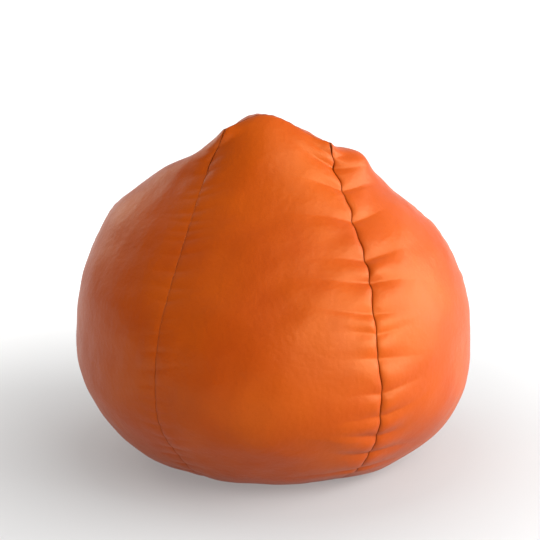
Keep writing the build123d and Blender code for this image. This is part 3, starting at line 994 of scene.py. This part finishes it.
first_stitch = one_stitch()
stitch_shape = points_of(first_stitch)
stitches = []
for number, fitted in enumerate(gore_skins):
    count = int(seam_lengths[number] / STITCH_PITCH) - 4
    up = (np.arange(count) + 2.5) * STITCH_PITCH / seam_lengths[number]
    ones = np.ones(count)
    facing = fitted.normal(ones, up)
    proud = crown(number, ones, up) + seam_puckers[number].height(0, 0 * up, up * seam_lengths[number])
    inside = settle(fitted(ones, up) + facing * (proud - STITCH_DEPTH)[:, None])
    ahead = unit(np.gradient(inside, axis=0))
    sideways = unit(np.cross(facing, ahead))
    depth_way = np.cross(ahead, sideways)
    for place, a, s, d in zip(inside, ahead, sideways, depth_way):
        o = first_stitch.copy()
        o.data = first_stitch.data.copy()
        bpy.context.scene.collection.objects.link(o)
        move_points(o, place + stitch_shape @ np.array([s, d, a]))
        stitches.append(o)
bpy.data.objects.remove(first_stitch)
thread = pick(*stitches)
bpy.ops.object.join()
thread.name = thread.data.name = "thread_seam_stitches"
bpy.ops.object.shade_smooth()
print(len(stitches), "stitches")

# %% [markdown]
# ## Materials as arithmetic
# A material is mostly arithmetic on a few patterns. The small class below wraps one value in a
# node tree, so that a sum or a product written in Python adds the Math node for it.


# %% Tools for materials
class Signal:
    """A value or colour in a material. Arithmetic on it adds Math nodes."""

    def __init__(self, paint, socket):
        self.paint, self.socket = paint, socket

    def math(self, operation, *values):
        return self.paint.node("Math", {"operation": operation}, dict(enumerate(values)))

    def __add__(self, other):
        return self.math("ADD", self, other)

    def __sub__(self, other):
        return self.math("SUBTRACT", self, other)

    def __rsub__(self, other):
        return self.math("SUBTRACT", other, self)

    def __mul__(self, other):
        return self.math("MULTIPLY", self, other)

    __radd__, __rmul__ = __add__, __mul__

    def between(self, low, high):
        """0 at or below low, 1 at or above high, and even between them."""
        values = {"Value": self, "From Min": low, "From Max": high}
        return self.paint.node("MapRange", {"clamp": True}, values)


class Paint:
    """A material in the making, with its Principled shader."""

    def __init__(self, name, **constants):
        self.material = bpy.data.materials.new(name)
        self.material.use_nodes = True
        self.tree = self.material.node_tree
        self.shader = self.tree.nodes["Principled BSDF"]
        for key, value in constants.items():
            self.shader.inputs[key.replace("_", " ")].default_value = value

    def feed(self, socket, value):
        if isinstance(value, Signal):
            self.tree.links.new(value.socket, socket)
        else:
            socket.default_value = value

    def node(self, kind, settings=None, inputs=None, output=0):
        made = self.tree.nodes.new("ShaderNode" + kind)
        for key, value in (settings or {}).items():
            setattr(made, key, value)
        for key, value in (inputs or {}).items():
            self.feed(made.inputs[key], value)
        return Signal(self, made.outputs[output])

    def place(self, scale=(1, 1, 1)):
        """Object coordinates, in metres, stretched by scale."""
        coordinates = self.node("TexCoord", output="Object")
        return self.node("Mapping", inputs={"Vector": coordinates, "Scale": scale})

    def noise(self, size, detail=2.0, roughness=0.5, where=None):
        """Noise with features of about that size, in metres."""
        inputs = {"Vector": where or self.place(), "Scale": 1 / size}
        inputs.update({"Detail": detail, "Roughness": roughness})
        return self.node("TexNoise", inputs=inputs)

    def cells(self, size, output="Distance"):
        """Cells of about that size: the distance from each one's middle, or its own colour."""
        inputs = {"Vector": self.place(), "Scale": 1 / size}
        return self.node("TexVoronoi", {"feature": "F1"}, inputs, output)

    def mix(self, share, first, second):
        """A colour between two colours."""
        inputs = {0: share, 6: first, 7: second}
        return self.node("Mix", {"data_type": "RGBA"}, inputs, 2)

    def colour(self, value):
        self.feed(self.shader.inputs["Base Color"], value)

    def roughness(self, value):
        self.feed(self.shader.inputs["Roughness"], value)

    def relief(self, height):
        """Height is in metres."""
        bump = self.node("Bump", inputs={"Height": height, "Strength": 1.0, "Distance": 1.0})
        self.feed(self.shader.inputs["Normal"], bump)


print("materials can be written as sums now")

# %% [markdown]
# ## Leatherette
# Leatherette is a cloth coated with coloured vinyl and rolled with a leather grain. The coat has
# a satin shine, with pebbles about a millimetre across that break up the highlight. The beads
# behind it print through as soft dimples of about 8 mm, which show as a mottled shine. The colour
# is a little darker between the pebbles of the grain, the stitched groove is darkened almost to
# black as painted shade, and the tone drifts over the skin.


# %% Leatherette
def leatherette():
    paint = Paint("orange_leatherette", Specular_IOR_Level=0.36, Specular_Tint=(1.0, 0.80, 0.36, 1))
    pebbles = paint.cells(0.0011)
    fine = paint.noise(0.0005, 2, 0.6)
    dimples = paint.noise(0.0085, 1.5, 0.45)
    hollows = paint.noise(0.022, 1, 0.5)
    slow = paint.noise(0.16, 2, 0.5).between(0.3, 0.7)
    # The painted shade of the seam grooves, read from the points.
    stitched = paint.node("Attribute", {"attribute_name": "stitched"}, output="Fac")
    deep, full = (0.37, 0.040, 0.0001, 1), (0.47, 0.070, 0.0001, 1)
    skin = paint.mix(slow * 0.6 + fine * 0.4, deep, full)
    # A little darker between the pebbles of the grain.
    skin = paint.mix(pebbles.between(0.55, 0.95) * 0.30, skin, (0.25, 0.018, 0.0001, 1))
    # Painted shade: the skin is mixed towards near black in the seam groove.
    skin = paint.mix(stitched * 0.8, skin, (0.06, 0.005, 0.0005, 1))
    paint.colour(skin)
    paint.roughness(0.36 + dimples * 0.08 + pebbles * 0.05)
    paint.relief(dimples * 0.00042 + hollows * 0.0009 + fine * 0.00003 - pebbles * 0.00007)
    return paint.material


# %% [markdown]
# ## Cloth, thread, beads and the zip
# The liner is plain-woven polyester and the tapes are a dense twill, so both are crossing waves of
# thread. The thread is twisted, so its waves run round it. The beads are balls of foam, packed
# close: each cell of the pattern is one bead, greyed towards its edge as painted shade in the gaps
# between beads. Zip teeth are moulded nylon and the sliders are brushed steel.


# %% The other materials
BEAD_SIZE = 0.0045


def woven(name, colour, shade, pitch, depth, roughness):
    paint = Paint(name, Sheen_Weight=0.25, Sheen_Roughness=0.5, Specular_IOR_Level=0.25)
    threads = []
    for direction in ("X", "Y", "Z"):
        inputs = {"Vector": paint.place(), "Scale": 0.314 / pitch, "Distortion": 0.4, "Detail": 1.0}
        threads.append(paint.node("TexWave", {"bands_direction": direction}, inputs, "Fac"))
    weave = (threads[0] + threads[1] + threads[2]) * 0.333
    uneven = paint.noise(0.03, 3)
    paint.colour(paint.mix(weave * 0.6 + uneven * 0.4, shade, colour))
    paint.roughness(roughness + uneven * 0.1)
    paint.relief(weave * depth)
    return paint.material


def sewing_thread():
    paint = Paint("bonded_thread", Sheen_Weight=0.2)
    inputs = {"Vector": paint.place(), "Scale": 700.0, "Distortion": 1.5, "Detail": 2.0}
    twist = paint.node("TexWave", {"bands_direction": "DIAGONAL"}, inputs, "Fac")
    paint.colour(paint.mix(twist, (0.30, 0.03, 0.002, 1), (0.55, 0.08, 0.006, 1)))
    paint.roughness(0.5 + twist * 0.15)
    paint.relief(twist * 0.00008)
    return paint.material


def foam_beads():
    paint = Paint("foam_beads", Specular_IOR_Level=0.35)
    edge = paint.cells(BEAD_SIZE).between(0.1, 0.75)
    tone = paint.cells(BEAD_SIZE, "Color")
    bead = paint.mix(tone, (0.80, 0.80, 0.79, 1), (0.88, 0.88, 0.87, 1))
    # Painted shade: each bead is greyed towards its edge, where the gaps between packed beads lie.
    paint.colour(paint.mix(edge, bead, (0.45, 0.45, 0.46, 1)))
    paint.roughness(0.55 + edge * 0.2)
    paint.relief(0.0012 - edge * 0.0012)
    return paint.material


def moulded_nylon():
    paint = Paint("moulded_nylon_teeth", Coat_Weight=0.15, Coat_Roughness=0.2)
    clouds, fine = paint.noise(0.004, 3), paint.noise(0.0004, 2)
    paint.colour(paint.mix(clouds, (0.30, 0.030, 0.002, 1), (0.42, 0.050, 0.003, 1)))
    paint.roughness(0.30 + clouds * 0.12)
    paint.relief(fine * 0.00002)
    return paint.material


def brushed_steel():
    paint = Paint("brushed_zip_steel", Metallic=1.0, Anisotropic=0.4)
    lines = paint.noise(0.0005, 3, 0.6, paint.place((0.06, 1, 1)))
    worn = paint.noise(0.003, 3).between(0.45, 0.7)
    paint.colour(paint.mix(lines * 0.5 + worn * 0.3, (0.42, 0.42, 0.43, 1), (0.68, 0.68, 0.69, 1)))
    paint.roughness(0.24 + lines * 0.14 + worn * 0.06)
    paint.relief(lines * 0.00001)
    return paint.material


LEATHERETTE, THREAD, BEADS = leatherette(), sewing_thread(), foam_beads()
LINER_CLOTH = woven("white_liner_cloth", (0.74, 0.73, 0.70, 1), (0.52, 0.51, 0.49, 1), 0.0007, 0.00006, 0.70)
TAPE = woven("orange_zip_tape", (0.42, 0.055, 0.004, 1), (0.22, 0.024, 0.002, 1), 0.0006, 0.00010, 0.72)
NYLON, STEEL = moulded_nylon(), brushed_steel()
print("seven materials")

# %% [markdown]
# ## Finishes and cut sizes
# Each new piece rides on the bag, takes the place of its plain CAD sheet and gets its finish. The
# size each panel was cut to, and its area, are printed.


# %% Finishes and cut sizes
SEAM_ALLOWANCE = 0.02


def dress(piece, node, material):
    piece.data.materials.clear()
    piece.data.materials.append(material)
    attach(piece, "bag")
    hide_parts(node)


def one_side_area(o):
    areas = np.zeros(len(o.data.polygons))
    o.data.polygons.foreach_get("area", areas)
    return float(areas.sum() / 2)


def declare_panel(o, flat):
    area = min(one_side_area(o), flat[0] * flat[1])
    print(o.name, "cut", [round(v, 3) for v in flat], "m, area", round(area, 3), "m2")


bead_fill.name = bead_fill.data.name = "polystyrene_beads"
pick(bead_fill)
rounded = bead_fill.modifiers.new("rounded", "SUBSURF")
rounded.levels = rounded.render_levels = 1
apply_all(bead_fill)
bpy.ops.object.shade_smooth()
move_points(bead_fill, settle(points_of(bead_fill)))
dress(bead_fill, "bead_fill", BEADS)

for panels, prefix, slot, material in ((gores, "", "leatherette", LEATHERETTE),
                                       (liner, "liner_", "liner_cloth", LINER_CLOTH)):
    for number, (name, piece) in enumerate(zip(GORE_NAMES, panels)):
        dress(piece, prefix + name, material)
        width_at, length_at = lengths_of(gore_skins[number])
        widest = float(max(width_at(np.linspace(0, 1, 60))))
        declare_panel(piece, (widest + SEAM_ALLOWANCE, float(length_at(0)) + SEAM_ALLOWANCE))
CAP_CUT = (2 * CAP_CORNER * CAP_STRETCH + SEAM_ALLOWANCE,
           2 * CAP_CORNER * math.cos(GORE_ANGLE / 2) * CAP_STRETCH + SEAM_ALLOWANCE)
dress(top_cap, "top_cap", LEATHERETTE)
dress(liner_cap, "liner_top_cap", LINER_CLOTH)
declare_panel(top_cap, CAP_CUT)
declare_panel(liner_cap, CAP_CUT)
for panels, prefix, slot, material in ((base_panels, "base_panel_", "leatherette", LEATHERETTE),
                                       (liner_bases, "liner_base_", "liner_cloth", LINER_CLOTH)):
    for half, piece in zip(("back", "front"), panels):
        dress(piece, prefix + half, material)
        spread = np.ptp(points_of(piece), axis=0)
        declare_panel(piece, (float(spread[0]) + SEAM_ALLOWANCE, float(spread[1]) + SEAM_ALLOWANCE))
dress(thread, "seam_threads", THREAD)

ZIP_FINISHES = (("tape", TAPE), ("teeth", NYLON), ("stop", NYLON), ("slider", STEEL), ("pull", STEEL))
for name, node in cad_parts.items():
    for part, material in ZIP_FINISHES:
        if "zip" in name and part in name:
            for holder in node.material_slots:
                holder.material = material
print("every piece has its finish")

# %% [markdown]
# ## The studio
# The floor is pale and plain, and glows a little more away from the chair, as a lit paper sweep
# does. One long soft light stands to the sitter's right, so the gore on that side shines, and
# another lights the back. A weaker one from the far side draws the other edge. The sky is bright in
# front of the chair, above it and low along the horizon, and dim elsewhere.

# %% Floor, sky and lights
FLOOR_SIZE = 120
SKY_PARTS = (((0, -1, 0), 0.1, 0.85, 0.07, 1.02),
             ((0, 0, 1), 0.2, 0.9, 0.0, 0.55),
             ((0, 0, 1), 0.03, 0.12, 0.80, 0.0))
RANGE_SOCKETS = ("From Min", "From Max", "To Min", "To Max")
bpy.ops.object.select_all(action="DESELECT")
bpy.ops.mesh.primitive_plane_add(size=FLOOR_SIZE)
floor = bpy.context.object
floor.name = "floor"
floor_paint = Paint("pale_floor", Roughness=0.9, Specular_IOR_Level=0.1, Emission_Strength=1.0)
from_chair = floor_paint.node("VectorMath", {"operation": "LENGTH"}, {0: floor_paint.place()}, "Value")
glow = floor_paint.mix(from_chair.between(0.45, 1.8), (0.26, 0.26, 0.26, 1), (0.90, 0.90, 0.90, 1))
floor_paint.feed(floor_paint.shader.inputs["Emission Color"], glow)
clouds = floor_paint.noise(0.5, 2)
floor_paint.colour(floor_paint.mix(clouds, (0.33, 0.33, 0.33, 1), (0.35, 0.35, 0.35, 1)))
floor.data.materials.append(floor_paint.material)
floor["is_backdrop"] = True

world = bpy.data.worlds.new("studio")
bpy.context.scene.world = world
world.use_nodes = True
tree = world.node_tree
background = tree.nodes["Background"]
background.inputs["Color"].default_value = (1, 1, 1, 1)
direction = tree.nodes.new("ShaderNodeTexCoord")
strength = None
for towards, *reach in SKY_PARTS:
    facing = tree.nodes.new("ShaderNodeVectorMath")
    facing.operation = "DOT_PRODUCT"
    facing.inputs[1].default_value = towards
    tree.links.new(direction.outputs["Generated"], facing.inputs[0])
    share = tree.nodes.new("ShaderNodeMapRange")
    for key, value in zip(RANGE_SOCKETS, reach):
        share.inputs[key].default_value = value
    tree.links.new(facing.outputs["Value"], share.inputs["Value"])
    if strength is None:
        strength = share.outputs[0]
    else:
        total = tree.nodes.new("ShaderNodeMath")
        tree.links.new(strength, total.inputs[0])
        tree.links.new(share.outputs[0], total.inputs[1])
        strength = total.outputs[0]
tree.links.new(strength, background.inputs["Strength"])


def soft_light(name, place, aim, size, watts, colour=(1, 1, 1)):
    data = bpy.data.lights.new(name, "AREA")
    data.shape, data.size, data.size_y = "RECTANGLE", *size
    data.energy, data.color = watts, colour
    light = bpy.data.objects.new(name, data)
    light.location = place
    light.rotation_euler = (Vector(aim) - Vector(place)).to_track_quat("-Z", "Y").to_euler()
    bpy.context.scene.collection.objects.link(light)


soft_light("side_soft_light", (-2.6, 0.5, 1.3), (-0.1, 0, 0.35), (2.6, 1.6), 106)
soft_light("back_soft_light", (-1.9, 2.4, 1.9), (0, 0.1, 0.35), (2.4, 2.4), 74)
soft_light("far_rim_light", (2.4, -1.6, 1.7), (0, 0, 0.4), (1.0, 1.0), 12, (1, 0.93, 0.80))
bpy.context.scene.view_settings.view_transform = "Standard"
print("floor, sky and three lights")

# %% [markdown]
# ## Size
# The box of what is seen is set against the box of the CAD model, and how far each side of it
# grew is printed, in millimetres.

# %% Sizes, and the end
visual_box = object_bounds()
growth = [(b - a) * 1000 for c, v in zip(cad_box, visual_box) for a, b in zip(c, v)]
print("grew by, mm:", [round(g, 1) for g in growth])
